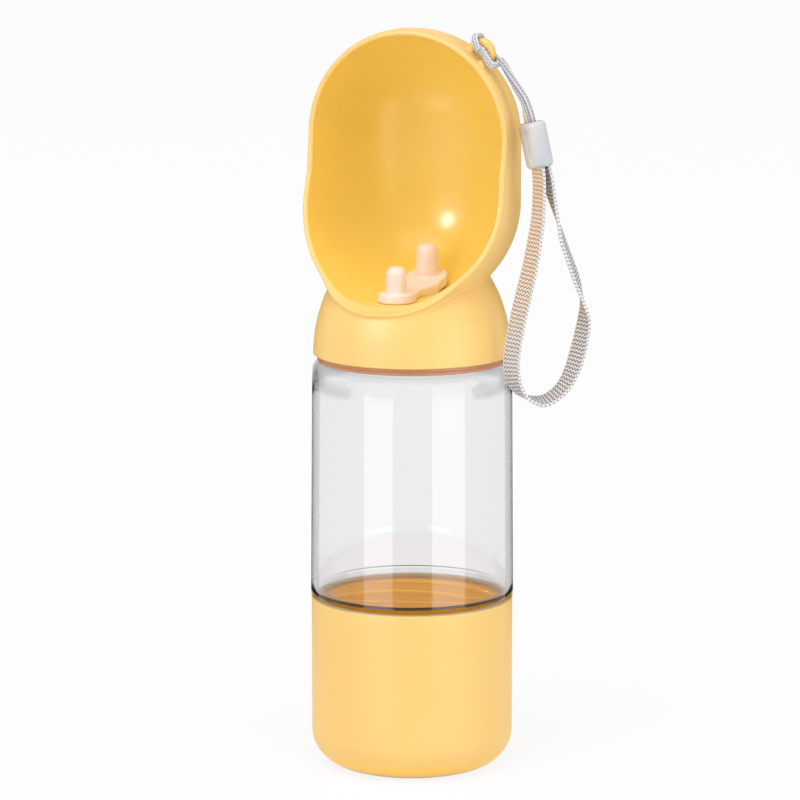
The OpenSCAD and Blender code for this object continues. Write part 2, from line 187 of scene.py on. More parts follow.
def clear_plastic(name, opened=None):
    """Clear plastic that lets light through to what is inside, with a slight grey in its depth.

    opened is the share of a surface that is seen straight through, without bending the view.
    Without it, that share grows with height up to the shoulder and falls again on the neck."""
    m = Shader(name, Transmission_Weight=1.0, IOR=1.5, Base_Color=(1, 1, 1, 1))
    m.link(m.span(m.noise(45, 3), 0.0, 0.025), "Roughness")
    m.bump(m.noise(90, 2, 0.4), 0.00006, 0.25)
    path = m.node("ShaderNodeLightPath").outputs
    through = m.math("MAXIMUM", path["Is Shadow Ray"], path["Is Diffuse Ray"])
    clear_way = m.node("ShaderNodeBsdfTransparent").outputs[0]
    if not opened:
        height = m.node("ShaderNodeSeparateXYZ", {"Vector": m.place()}).outputs["Z"]
        share = m.node("ShaderNodeMapRange",
                       {"Value": height, "From Min": 0.126, "From Max": 0.138}).outputs["Result"]
        opened = m.ramp(share, [(0.05, 0.0), (0.6, 0.92), (0.87, 0.92), (0.93, 0.25)])
    last = m.node("ShaderNodeMixShader",
                  {0: opened, 1: m.main.outputs[0], 2: clear_way}).outputs[0]
    last = m.node("ShaderNodeMixShader", {0: through, 1: last, 2: clear_way}).outputs[0]
    out = m.tree.nodes["Material Output"]
    m.link(last, out.inputs["Surface"])
    veil = m.node("ShaderNodeVolumeAbsorption", {"Color": (0.3, 0.31, 0.33, 1), "Density": 62.0})
    m.link(veil.outputs[0], out.inputs["Volume"])
    return m.material


def rubber(name, colour, deep, rough, glow):
    """Silicone or soft plastic. glow is the share of light that spreads under its surface."""
    m = Shader(name, IOR=1.41, Subsurface_Weight=glow, Subsurface_Scale=0.004)
    m.main.inputs["Subsurface Radius"].default_value = (1.0, 0.8, 0.65)
    m.link(m.ramp(m.noise(90, 3), [(0.3, srgb(*deep)), (0.7, srgb(*colour))]), "Base Color")
    m.link(m.span(m.noise(300, 2), rough - 0.05, rough + 0.05), "Roughness")
    m.bump(m.noise(1500, 2, 0.6), 0.00003, 0.35)
    return m.material


clear = clear_plastic("clear_bottle")
clear_neck = clear_plastic("clear_neck", 0.85)
# The collar's seal ring: its amber-brown colour is painted shade of the gap between the collar and
# the bottle
seal_painted_gap_shade = rubber("seal_painted_gap_shade", (204, 146, 108), (198, 138, 100), 0.35, 0.2)
base_ring = rubber("cup_seal", (238, 190, 130), (232, 182, 120), 0.4, 0.2)
silicone = rubber("pink_silicone", (246, 229, 219), (245, 224, 212), 0.42, 0.3)
slider_grey = rubber("slider_grey", (222, 218, 216), (216, 212, 210), 0.3, 0.3)


def painted_shade_across(material):
    """Painted shade and highlight over the part's own width: darker at both sides, lighter in the
    middle, and warm on the side towards the head as a painted reflection of its yellow.
    """
    tree = material.node_tree
    place = tree.nodes.new("ShaderNodeTexCoord").outputs["Generated"]
    part = tree.nodes.new("ShaderNodeSeparateXYZ")
    tree.links.new(place, part.inputs[0])
    ramp = tree.nodes.new("ShaderNodeValToRGB")
    tree.links.new(part.outputs["X"], ramp.inputs[0])
    ends = ramp.color_ramp.elements
    ends[0].position, ends[0].color = 0.1, srgb(192, 176, 156)
    ends[1].position, ends[1].color = 0.85, srgb(198, 201, 207)
    ends.new(0.5).color = srgb(228, 223, 219)
    tree.links.new(ramp.outputs[0], tree.nodes["Principled BSDF"].inputs["Base Color"])


# The slider's colour is painted shade and highlight across its width
painted_shade_across(slider_grey)


def woven(name, rib_share, warp_share, warps, low, high, stitched=True):
    """The strap: pale wavy ribs on a tint that changes along it, and a stitched edge on both sides.

    The ribs run across and the warps along. low and high are the yarn's heights between which it
    turns from the tint to the pale rib: the pale crests are partly pale yarn and partly a painted
    highlight, and the troughs keep the darker tint as painted shade."""
    m = Shader(name, Roughness=0.78, Sheen_Weight=0.2, Sheen_Roughness=0.4)
    uv = m.node("ShaderNodeUVMap", uv_map="weave").outputs["UV"]
    part = m.node("ShaderNodeSeparateXYZ", {"Vector": uv})
    across, along = part.outputs["X"], part.outputs["Y"]
    rib = m.math("SINE", m.math("MULTIPLY", along, TURN))
    warp = m.math("ABSOLUTE", m.math("SINE", m.math("MULTIPLY", across, math.pi * warps)))
    yarn = m.math("ADD", m.math("MULTIPLY", rib, rib_share),
                  m.math("MULTIPLY", warp, 2 * warp_share))
    # Paler on the yarn's crests and darker in its troughs: partly the yarn's own colours, partly
    # painted highlight and painted shade
    light = m.ramp(m.math("ADD", yarn, 0.5 - warp_share), [(low, 0), (high, 1)])
    tint = m.node("ShaderNodeAttribute", attribute_name="tint").outputs["Color"]
    body = m.mix(light, tint, m.mix(0.7, tint, srgb(252, 251, 252)))
    side = m.math("ABSOLUTE", m.math("SUBTRACT", across, 0.5))
    edge = m.math("GREATER_THAN", side, 0.435 if stitched else 2.0)
    dash = m.math("SINE", m.math("MULTIPLY", m.math("ADD", along, side), TURN))
    stitch = m.ramp(m.math("ADD", m.math("MULTIPLY", dash, 0.5), 0.5),
                    [(0.1, srgb(172, 172, 184)), (0.4, srgb(236, 234, 234))])
    m.link(m.mix(edge, body, stitch), "Base Color")
    m.bump(m.math("ADD", yarn, m.math("MULTIPLY", m.noise(2600, 3), 0.5)), 0.0001, 0.5)
    return m.material


strap_cloth = woven("woven_strap", 0.36, 0.14, 13, 0.34, 0.82)
braid_cloth = woven("braided_strap", 0.12, 0.4, 4, 0.22, 0.84, False)
hitch_cloth = woven("braided_hitch", 0.17, 0.35, 3, 0.18, 0.74, False)

# ---------------------------------------------------------------- meshes


def new_object(name, verts_mm, faces, materials, index=None, normals=None, sharp=None):
    """A smooth mesh from points in mm; sharp is the angle in degrees from which an edge stays."""
    mesh = bpy.data.meshes.new(name)
    mesh.from_pydata((np.asarray(verts_mm) * MM).tolist(), [], faces)
    mesh.validate()
    for m in materials:
        mesh.materials.append(m)
    if index is not None:
        mesh.polygons.foreach_set("material_index", np.asarray(index, dtype=np.int32))
    mesh.shade_smooth()
    if sharp is not None:
        mesh.set_sharp_from_angle(angle=math.radians(sharp))
    if normals is not None:
        mesh.normals_split_custom_set_from_vertices(normals.tolist())
    mesh.update()
    return add_object(name, mesh)


def lathe(name, profile, materials, body, nodes, segments=192, radial=None, pick=None):
    """A turned piece from (r, z) points in mm.

    radial(r, z, angle) gives a ring's radii, and pick(p, q) the material between two points."""
    rings, verts, faces, index = [], [], [], []
    angle = np.arange(segments) * TURN / segments
    for r, z in profile:
        if r < 1e-6:
            rings.append([len(verts)])
            verts.append((0, 0, z))
            continue
        rr = np.full(segments, r) if radial is None else radial(r, z, angle)
        rings.append(list(range(len(verts), len(verts) + segments)))
        verts.extend(zip(rr * np.cos(angle), rr * np.sin(angle), np.full(segments, z)))
    pairs = list(zip(rings, rings[1:]))
    spans = list(zip(profile, profile[1:]))
    if len(rings[0]) > 1:
        pairs.append((rings[-1], rings[0]))
        spans.append((profile[-1], profile[0]))
    for (a, b), (p, q) in zip(pairs, spans):
        which = pick(p, q) if pick else 0
        for i in range(segments):
            j = (i + 1) % segments
            if len(a) == 1:
                f = (a[0], b[i], b[j]) if len(b) > 1 else None
            elif len(b) == 1:
                f = (a[i], b[0], a[j])
            else:
                f = (a[i], b[i], b[j], a[j])
            if f:
                faces.append(f[::-1])
                index.append(which)
    obj = new_object(name, verts, faces, materials, index, sharp=32)
    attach(obj, body)
    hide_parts(*nodes)


def arc(cx, cz, r, a, b, steps):
    """Points on a circle from a to b degrees."""
    t = np.radians(np.linspace(a, b, steps + 1))
    return [(cx + r * math.cos(q), cz + r * math.sin(q)) for q in t]


def upright(r, z0, z1, step=0.25):
    """A straight wall in short steps, so that a thread can be raised on it."""
    n = max(2, int(round(abs(z1 - z0) / step)))
    return [(r, z) for z in np.linspace(z0, z1, n + 1)]


def ridge(z, angle, lead, shift):
    """Height, from 0 to 1, of a right-handed thread of several starts at a height and angle."""
    pitch = lead / THREAD_STARTS
    at = (z - lead * angle / TURN) / pitch + shift
    off = np.abs(at - np.floor(at) - 0.5) * 2
    return np.clip((THREAD_SHARE - off) / 0.16, 0, 1)


def fade(z, lo, hi, run=1.2):
    """1 between two heights, and falling to 0 at both."""
    return np.clip((z - lo) / run, 0, 1) * np.clip((hi - z) / run, 0, 1)


# Heights of the cup's rim, the collar's foot and the bowl's floor in mm, as in the CAD
SEAM, COLLAR, FLOOR = 57.0, 138.3, 157.0
# Radii that carry threads, and each thread's rise in a turn
CUP_BORE, LOW_NECK, TOP_NECK, SOCKET = 31.0, 29.6, 27.2, 28.5
CUP_LEAD, HEAD_LEAD = 8, 7
THREAD_STARTS, THREAD_SHARE = 2, 0.4

# ---------------------------------------------------------------- food cup


def cup_radial(r, z, angle):
    if abs(r - CUP_BORE) < 1e-6:
        return r - 0.75 * ridge(z, angle, CUP_LEAD, 0.5) * fade(z, 42.5, 55.3)
    return np.full(len(angle), r)


def make_cup():
    profile = [(0, 0.55), (18.5, 0.55)] + arc(18.5, 0.8, 0.25, 270, 300, 2)
    profile += [(20.2, 0.0)] + arc(21.3, 12, 12, 270, 360, 40)
    profile += [(33.3, z) for z in np.linspace(16, 54, 8)]
    profile += arc(32.9, SEAM - 0.4, 0.4, 0, 90, 5)
    profile += arc(31.8, SEAM - 0.25, 0.25, 90, 180, 3)
    profile += [(31.55, 55.5), (CUP_BORE, 55.45)]
    profile += upright(CUP_BORE, 55.2, 41.5) + [(31.3, 40.4)]
    profile += arc(21.3, 12.2, 10, 0, -90, 24) + [(0, 2.2)]

    # Inner faces take the copies with painted glow, the deeper orange one above 40 mm
    def pick(p, q):
        if max(p[0], q[0]) > 31.6 or min(p[1], q[1]) < 2.0:
            return 0
        return 2 if min(p[1], q[1]) > 40 else 1

    lathe("food_cup_shell", profile, [cup_yellow, cup_inside_painted_glow, cup_thread_painted_glow], "food_cup",
          ["base_cup"], radial=cup_radial, pick=pick)


make_cup()

# ---------------------------------------------------------------- bottle


def bottle_radial(r, z, angle):
    if abs(r - LOW_NECK) < 1e-6:
        return r + 0.8 * ridge(z, angle, CUP_LEAD, 0.0) * fade(z, 43, 55)
    if abs(r - TOP_NECK) < 1e-6:
        return r + 0.75 * ridge(z, angle, HEAD_LEAD, 0.0) * fade(z, 139.2, 149.2)
    return np.full(len(angle), r)


def make_bottle():
    profile = [(0, 42.0)] + arc(28.8, 42.8, 0.8, 270, 360, 5)
    profile += upright(LOW_NECK, 43, 55.4) + [(30.35, 55.6), (30.4, 56.8)]
    profile += [(30.5, SEAM + 0.05)] + arc(33.1, SEAM + 0.45, 0.4, 270, 360, 5)
    profile += [(33.5 - 0.6 * t, 57.6 + 75.4 * t) for t in np.linspace(0.02, 0.98, 12)]
    profile += arc(30.1, 133.2, 2.8, 0, 90, 14)
    profile += [(28.2, 136.0), (27.6, 136.05), (TOP_NECK, 136.5)]
    profile += upright(TOP_NECK, 137.2, 149.4) + arc(26.7, 149.5, 0.5, 0, 90, 4)
    profile += arc(26.4, 149.8, 0.2, 90, 180, 2) + [(26.2, 136.6)]
    profile += arc(27.2, 135.2, 1.0, 180, 270, 4)
    profile += arc(29.5, 132.2, 2.0, 90, 0, 8)
    profile += [(31.2 + 0.5 * t, 131.8 - 71.4 * t) for t in np.linspace(0.02, 0.98, 12)]
    profile += arc(31.1, 59.8, 0.6, 0, -90, 5) + arc(28.9, 58.7, 0.5, 90, 180, 4)
    profile += arc(25.6, 46.8, 2.8, 0, -90, 10) + [(0, 44.0)]

    def pick(p, q):
        return 1 if max(p[1], q[1]) < 60.6 else 0

    lathe("bottle_shell", profile, [clear, clear_neck], "bottle_body", ["bottle"],
          segments=256, radial=bottle_radial, pick=pick)


make_bottle()


def make_seals():
    # The upper ring's amber-brown colour is painted shade of the gap under the collar
    ring = arc(28.35, 136.3, 0.3, 180, 270, 3) + arc(30.9, 136.3, 0.3, 270, 360, 3)
    ring += [(31.2, 136.95), (31.05, 137.15), (31.2, 137.35)]
    ring += arc(30.9, 138.0, 0.3, 0, 90, 3) + arc(28.35, 138.0, 0.3, 90, 180, 3)
    lathe("collar_seal", ring, [seal_painted_gap_shade], "cap_seal_ring", ["cap_seal"])
    low = arc(30.7, 55.75, 0.2, 180, 270, 3) + arc(31.2, 55.75, 0.2, 270, 360, 3)
    low += arc(31.2, 56.75, 0.2, 0, 90, 3) + arc(30.7, 56.75, 0.2, 90, 180, 3)
    lathe("cup_seal_ring", low, [base_ring], "base_seal_ring", ["base_seal"])


make_seals()

# ---------------------------------------------------------------- implicit shapes


def smin(a, b, k):
    """The union of two shapes, blended over k mm."""
    h = np.maximum(k - np.abs(a - b), 0) / k
    return np.minimum(a, b) - h * h * k / 4


def smax(a, b, k):
    return -smin(-a, -b, k)


def surface_nets(value, lo, step):
    """Vertices and outward quads of the surface where a grid of values is zero."""
    inside = value < 0
    nx, ny, nz = value.shape
    corners = [(i, j, k) for i in (0, 1) for j in (0, 1) for k in (0, 1)]
    count = np.zeros((nx - 1, ny - 1, nz - 1), np.int8)
    for i, j, k in corners:
        count += inside[i:nx - 1 + i, j:ny - 1 + j, k:nz - 1 + k]
    cell = (count > 0) & (count < 8)
    ids = np.full(cell.shape, -1, np.int32)
    ids[cell] = np.arange(cell.sum())
    base = np.argwhere(cell)
    at = [value[base[:, 0] + i, base[:, 1] + j, base[:, 2] + k] for i, j, k in corners]
    total, hits = np.zeros((len(base), 3)), np.zeros(len(base))
    for m, a in enumerate(corners):
        for n, b in enumerate(corners):
            if n <= m or sum(abs(p - q) for p, q in zip(a, b)) != 1:
                continue
            cross = (at[m] < 0) != (at[n] < 0)
            t = at[m][cross] / (at[m][cross] - at[n][cross])
            total[cross] += np.array(a) + t[:, None] * (np.array(b) - np.array(a))
            hits[cross] += 1
    verts = np.array(lo) + (base + total / hits[:, None]) * step
    quads = []
    for axis in range(3):
        u, v = (axis + 1) % 3, (axis + 2) % 3
        low = np.moveaxis(inside, axis, 0)[:-1]
        high = np.moveaxis(inside, axis, 0)[1:]
        spot = np.argwhere(low != high)
        full = np.empty_like(spot)
        others = [a for a in range(3) if a != axis]
        full[:, axis] = spot[:, 0]
        full[:, others[0]] = spot[:, 1]
        full[:, others[1]] = spot[:, 2]
        room = (full[:, u] > 0) & (full[:, v] > 0)
        room &= (full[:, u] < value.shape[u] - 1) & (full[:, v] < value.shape[v] - 1)
        full = full[room]
        out = inside[full[:, 0], full[:, 1], full[:, 2]]
        ring = []
        for du, dv in ((1, 1), (0, 1), (0, 0), (1, 0)):
            c = full.copy()
            c[:, u] -= du
            c[:, v] -= dv
            ring.append(ids[c[:, 0], c[:, 1], c[:, 2]])
        quad = np.stack(ring, 1)
        quad[~out] = quad[~out][:, ::-1]
        quads.append(quad)
    return verts, np.concatenate(quads)


def slope(f, p, h=0.03):
    """The gradient of f at points p."""
    out = np.empty_like(p)
    for a in range(3):
        d = np.zeros(3)
        d[a] = h
        out[:, a] = (f(*(p + d).T) - f(*(p - d).T)) / (2 * h)
    return out


def implicit(f, lo, hi, step):
    """A fine mesh of f = 0, its points drawn onto the true surface, with their normals."""
    axes = [np.arange(a, b + step, step) for a, b in zip(lo, hi)]
    grid = np.empty([len(a) for a in axes])
    yy, zz = np.meshgrid(axes[1], axes[2], indexing="ij")
    for i, x in enumerate(axes[0]):
        grid[i] = f(np.full(yy.shape, x), yy, zz)
    verts, quads = surface_nets(grid, lo, step)
    for _ in range(4):
        g = slope(f, verts)
        move = f(*verts.T) / np.maximum((g * g).sum(1), 0.05)
        verts -= g * np.clip(move, -step, step)[:, None]
    g = slope(f, verts, 0.08)
    return verts, quads, g / np.maximum(np.linalg.norm(g, axis=1), 1e-9)[:, None]


def length(*parts):
    return np.sqrt(sum(p * p for p in parts))


def rounded(a, b, edge):
    """Distance from a box, by its two distances from flat sides, with its edge rounded."""
    return length(np.maximum(a, 0), np.maximum(b, 0)) + np.minimum(np.maximum(a, b), 0) - edge


# ---------------------------------------------------------------- drinking head

# Bowl: centres of its two round ends and its bulge, each with outer and inner radius
BOWL_LOW, BOWL_TOP, BOWL_OUT, BOWL_IN = 189.0, 209.7, 35.5, 33.7
BULGE_Y, BULGE_Z, BULGE_OUT, BULGE_IN = -9, 188.6, 35.1, 33.3
DOME_R, DOME_Z, DOME_H = 32.6, 137.4, 42.4
LUG = np.array([24.24, 0.0, 238.18])
# Grid of distances from the rim's side view
RIM_Y, RIM_Z, RIM_CELL = -50, 134, 0.25


def bezier(p, steps):
    t = np.linspace(0, 1, steps + 1)[:, None]
    p = np.array(p, float)
    return ((1 - t) ** 3 * p[0] + 3 * t * (1 - t) ** 2 * p[1]
            + 3 * t * t * (1 - t) * p[2] + t ** 3 * p[3])


def rim_table():
    """Signed distance from the rim's side view, ahead of it positive, on a fine (Y, Z) grid."""
    upper = bezier([(-5, 214), (-5.3, 201), (-8.8, 188), (-12, 179)], 60)
    lower = bezier([(-12, 179), (-15.4, 169.5), (-23.9, 157.8), (-30.4, 155.6)], 60)
    line = np.vstack([[(-5, 330)], upper, lower[1:], [(-34, 154.2), (-110, 125)]])
    ys, zs = np.arange(RIM_Y, 40, RIM_CELL), np.arange(RIM_Z, 252, RIM_CELL)
    yy, zz = np.meshgrid(ys, zs, indexing="ij")
    best, sign = np.full(yy.shape, 1e9), np.ones(yy.shape)
    for a, b in zip(line, line[1:]):
        d = b - a
        t = np.clip(((yy - a[0]) * d[0] + (zz - a[1]) * d[1]) / (d @ d), 0, 1)
        ey, ez = yy - a[0] - t * d[0], zz - a[1] - t * d[1]
        dist = ey * ey + ez * ez
        near = dist < best
        best[near] = dist[near]
        side = d[0] * ez - d[1] * ey
        sign[near] = np.where(side < 0, 1, -1)[near]
    return np.sqrt(best) * sign


RIM = rim_table()


def ahead_of_rim(y, z):
    """The table's distance at any point, positive ahead of the rim."""
    fy = np.clip((y - RIM_Y) / RIM_CELL, 0, RIM.shape[0] - 1.001)
    fz = np.clip((z - RIM_Z) / RIM_CELL, 0, RIM.shape[1] - 1.001)
    i, j = fy.astype(int), fz.astype(int)
    u, v = fy - i, fz - j
    return (RIM[i, j] * (1 - u) * (1 - v) + RIM[i + 1, j] * u * (1 - v)
            + RIM[i, j + 1] * (1 - u) * v + RIM[i + 1, j + 1] * u * v)


def capsule(x, y, z):
    return length(x, y, z - np.clip(z, BOWL_LOW, BOWL_TOP))


def collar_dome(x, y, z):
    r = length(x, y)
    q = length(r / DOME_R, (z - DOME_Z) / DOME_H)
    g = length(r / DOME_R ** 2, (z - DOME_Z) / DOME_H ** 2) / np.maximum(q, 1e-6)
    return (q - 1) / np.maximum(g, 1e-6)


def lug_ring(x, y, z):
    off_ring = length(x - LUG[0], z - LUG[2]) - 3.6
    return rounded(np.abs(off_ring) - 0.45, np.abs(y) - 0.6, 0.8)


def bulge(x, y, z):
    return length(x, y - BULGE_Y, z - BULGE_Z)


def hollow(x, y, z):
    """Inside of the bowl: negative in its space."""
    bowl = smin(capsule(x, y, z) - BOWL_IN, bulge(x, y, z) - BULGE_IN, 2.0)
    lip = length(x, y + 14, z - 180) - 26
    return smax(smin(bowl, lip, 2.5), FLOOR - z, 3.0)


def head(x, y, z):
    bowl = smin(capsule(x, y, z) - BOWL_OUT, bulge(x, y, z) - BULGE_OUT, 2.0)
    lip = length(x, y + 17.8, z - 179.7) - 28
    skin = smin(smin(bowl, lip, 1.5), collar_dome(x, y, z), 0.8)
    lug_foot = length(x - LUG[0] - 0.9, y + 1.7, z - LUG[2] + 3.8) - 1.5
    skin = smin(skin, smin(lug_ring(x, y, z), lug_foot, 0.6), 1.0)
    skin = smax(skin, COLLAR - z, 0.5)
    skin = smax(skin, -hollow(x, y, z), 0.4)
    skin = smax(skin, ahead_of_rim(y, z), 0.9)
    r = length(x, y)
    turn = np.arctan2(y, x)
    thread = 0.75 * ridge(z, turn, HEAD_LEAD, 0.5) * fade(z, 139.6, 149.4)
    socket = np.maximum(r - (SOCKET - thread), z - 150.3)
    room = np.maximum(r - 25.2, z - 155)
    holes = np.minimum(length(x, y + 13) - 2.6, length(x, y - 12.66) - 3.1)
    holes = np.maximum(holes, z - 162)
    return np.maximum(skin, -np.minimum(np.minimum(socket, room), holes))


def make_head():
    step = 0.55
    verts, quads, normals = implicit(head, (-37, -45.5, 136.9), (37, 37, 246.6), step)
    mid = verts[quads].mean(1)
    inner = hollow(*mid.T)
    front = ahead_of_rim(mid[:, 1], mid[:, 2])
    # Faces of the bowl's inside take the lighter yellow, painted light
    index = np.where((np.abs(inner) < 0.25) & (front < -0.35), 1, 0)
    obj = new_object("drinking_head_shell", verts, quads.tolist(), [yellow, yellow_inside],
                     index, normals)
    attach(obj, "head")
    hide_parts("drinking_head")


make_head()

# ---------------------------------------------------------------- stopper


FRONT_Y, REAR_Y = -13, 12.55
REAR_FLANGE_R, REAR_EDGE_Y = 6.887, 5.998


def rounded_disc(r, h, z0, y0, x, y, z, edge):
    """A disc or peg of radius r and height h standing on z0, round the axis at y0."""
    a = length(x, y - y0) - r + edge
    b = np.abs(z - z0 - h / 2) - h / 2 + edge
    return rounded(a, b, edge)


def stopper(x, y, z):
    base = FLOOR + 0.05
    flange_r = 6.1 - 0.14 * np.clip(z - base, 0, 3)
    front = rounded_disc(flange_r, 3.0, base + 0.1, FRONT_Y, x, y, z, 0.5)
    front = smin(front, rounded_disc(5.7, 0.9, base, FRONT_Y, x, y, z, 0.3), 0.3)
    peg_r = 3.55 - 0.4 * np.clip((z - base - 3) / 8.6, 0, 1)
    front = smin(front, rounded_disc(peg_r, 11.7, base, FRONT_Y, x, y, z, 2.3), 0.8)
    # The rear flange lies tilted, on the bowl's rising floor
    tilt = math.radians(18)
    yy, zz = y - REAR_EDGE_Y, z - base
    ty = yy * math.cos(tilt) + zz * math.sin(tilt)
    tz = -yy * math.sin(tilt) + zz * math.cos(tilt)
    rear = rounded_disc(REAR_FLANGE_R, 3.6, 0, REAR_FLANGE_R, x, ty, tz, 0.55)
    reach = np.clip(4.4 + 0.31 * (ty + 2), 4.2, 6.3)
    tongue = smax(smax(np.abs(x) - reach, np.abs(ty - 0.5) - 3.5, 0.8),
                  np.abs(tz - 1.6) - 1.6, 0.6)
    rear = smin(rear, smax(tongue, base + 0.1 - z, 0.3), 0.8)
    peg_r = 4.1 - 0.55 * np.clip((z - 162) / 11, 0, 1)
    rear = smin(rear, rounded_disc(peg_r, 14.8, 158.1, REAR_Y, x, y, z, 2.6), 0.8)
    waist = 3.8 + 0.03 * (y + 1.5) ** 2
    rise = 1.3 + 0.012 * (y + 9)
    bridge = smax(smax(np.abs(x) - waist, np.abs(y + 1) - 8.5, 0.8),
                  np.abs(z - base - rise) - rise, 0.6)
    plug = smin(smin(front, rear, 1.2), bridge, 1.6)
    stubs = np.minimum(length(x, y - FRONT_Y) - 2.5, length(x, y - REAR_Y) - 3.0)
    stubs = smax(stubs, np.maximum(155.1 - z, z - 159), 0.3)
    return smin(plug, stubs, 0.4)


def make_stopper():
    verts, quads, normals = implicit(stopper, (-8, -20.5, 154.2), (8, 21, 174.4), 0.36)
    obj = new_object("stopper_plugs", verts, quads.tolist(), [silicone], normals=normals)
    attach(obj, "plug")
    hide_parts("stopper")


make_stopper()

# ---------------------------------------------------------------- strap

STRAP_ORIGIN = np.array([24.2, 0.0, 238.2])
SLIDER_CENTRE = (19.6, -0.9, -28.7)

# Each route's points, in mm from the origin in the lug, with the direction of the strap's width.
# The loop's two ends lie inside the slider, deep enough to stay there when it slides up
UPPER = [
    ((7, -0.7, -2), (0.2, -1, 0.2)), ((8.3, -0.7, -3.6), (0.4, -1, 0.2)),
    ((10, -0.7, -6.3), (0.6, -0.9, 0.2)), ((12.2, -0.8, -9.6), (0.8, -0.6, 0.1)),
    ((14.3, -0.9, -12.6), (0.9, -0.5, 0.1)), ((15.8, -0.9, -15.1), (0.9, -0.45, 0.1)),
    ((17.65, -0.9, -20.2), (0.9, -0.45, 0.1)), ((19.6, -0.9, -28.7), (0.9, -0.45, 0.1)),
    ((20.85, -0.9, -34.2), (0.9, -0.45, 0.1)),
]
LOOP = [
    ((19.45, -2.2, -29.15), (0.9, -0.45, 0)), ((20.8, -2.2, -35), (0.9, -0.45, 0)),
    ((21.2, -1.8, -40.7), (0.9, -0.45, 0)),
    ((21.1, -1.6, -46.2), (0.9, -0.45, 0)), ((20.9, -1.9, -52.7), (0.92, -0.4, 0)),
    ((20.2, -2.6, -59.2), (0.95, -0.3, 0)), ((19.4, -3.4, -65.7), (0.97, -0.2, 0)),
    ((18.3, -4.3, -72.2), (1, -0.1, 0)), ((17, -5.2, -78.7), (1, 0, 0)),
    ((15.8, -6, -85.2), (1, 0, 0)), ((14.8, -6.8, -91.7), (1, 0, 0)),
    ((14.1, -7.2, -98.2), (1, 0, 0)), ((14.3, -7, -103.7), (1, -0.1, -0.1)),
    ((15.3, -6.1, -107.4), (0.95, -0.3, -0.1)), ((17.1, -4.4, -110.4), (0.8, -0.5, -0.1)),
    ((19.4, -2.2, -112.1), (0.6, -0.8, -0.2)), ((22.3, 0.6, -112.7), (0.4, -0.8, -0.45)),
    ((25.2, 3.2, -110.9), (0.6, -0.6, -0.5)), ((27.8, 5.6, -107.4), (0.8, -0.4, -0.4)),
    ((29.5, 7.4, -102.9), (0.9, -0.2, -0.4)), ((30.6, 8.6, -98.2), (0.9, -0.1, -0.4)),
    ((31.6, 9.6, -92.8), (0.95, -0.2, -0.2)), ((32.3, 10.2, -87.9), (0.9, -0.35, -0.2)),
    ((32.4, 10.1, -83.7), (0.7, -0.65, -0.2)), ((31.9, 9.5, -79.7), (0.45, -0.9, 0)),
    ((31.1, 8.5, -75.7), (0.2, -1, 0)), ((30, 7.3, -71.2), (0.1, -1, 0)),
    ((28.5, 5.9, -65.7), (0.15, -1, 0)), ((26.9, 4.4, -59.8), (0.2, -1, 0)),
    ((25.6, 3.2, -53.2), (0.45, -0.9, 0)), ((24.1, 2.2, -46.4), (0.7, -0.7, 0)),
    ((22.9, 1, -40.4), (0.9, -0.45, 0)), ((21.9, 0.1, -35), (0.9, -0.45, 0)),
    ((20.55, 0.1, -29.15), (0.9, -0.45, 0)),
]
UPPER_EDGE = [
    ((16.2, -0.6, -14.6), (0.9, -0.45, 0.1)), ((15.5, -0.6, -16.8), (0.9, -0.45, 0.1)),
    ((15.6, -0.6, -19.2), (0.9, -0.45, 0.1)), ((16.3, -0.7, -21.8), (0.9, -0.45, 0.1)),
    ((17.4, -0.8, -25), (0.9, -0.45, 0.1)),
]


def fine(route, step):
    """A route's points and width directions, close together, on one smooth curve."""
    p = np.array([q[0] for q in route], float) + STRAP_ORIGIN
    w = np.array([q[1] for q in route], float)
    w /= np.linalg.norm(w, axis=1)[:, None]
    both = np.hstack([p, w])
    ends = np.vstack([2 * both[0] - both[1], both, 2 * both[-1] - both[-2]])
    out = []
    for i in range(1, len(ends) - 2):
        a, b, c, d = ends[i - 1:i + 3]
        for t in np.linspace(0, 1, 24, endpoint=False):
            out.append(0.5 * (2 * b + (c - a) * t + (2 * a - 5 * b + 4 * c - d) * t * t
                              + (3 * b - a - 3 * c + d) * t ** 3))
    out = np.array(out + [both[-1]])
    s = np.concatenate([[0], np.cumsum(np.linalg.norm(np.diff(out[:, :3], axis=0), axis=1))])
    n = int(round(s[-1] / step))
    even = np.linspace(0, s[-1], n + 1)
    out = np.stack([np.interp(even, s, out[:, k]) for k in range(6)], 1)
    return out[:, :3], out[:, 3:], even


def frames(points, width):
    """Directions across the strap and out of its face, at right angles to the route."""
    along = np.gradient(points, axis=0)
    along /= np.linalg.norm(along, axis=1)[:, None]
    face = np.cross(along, width)
    face /= np.linalg.norm(face, axis=1)[:, None]
    return np.cross(face, along), face


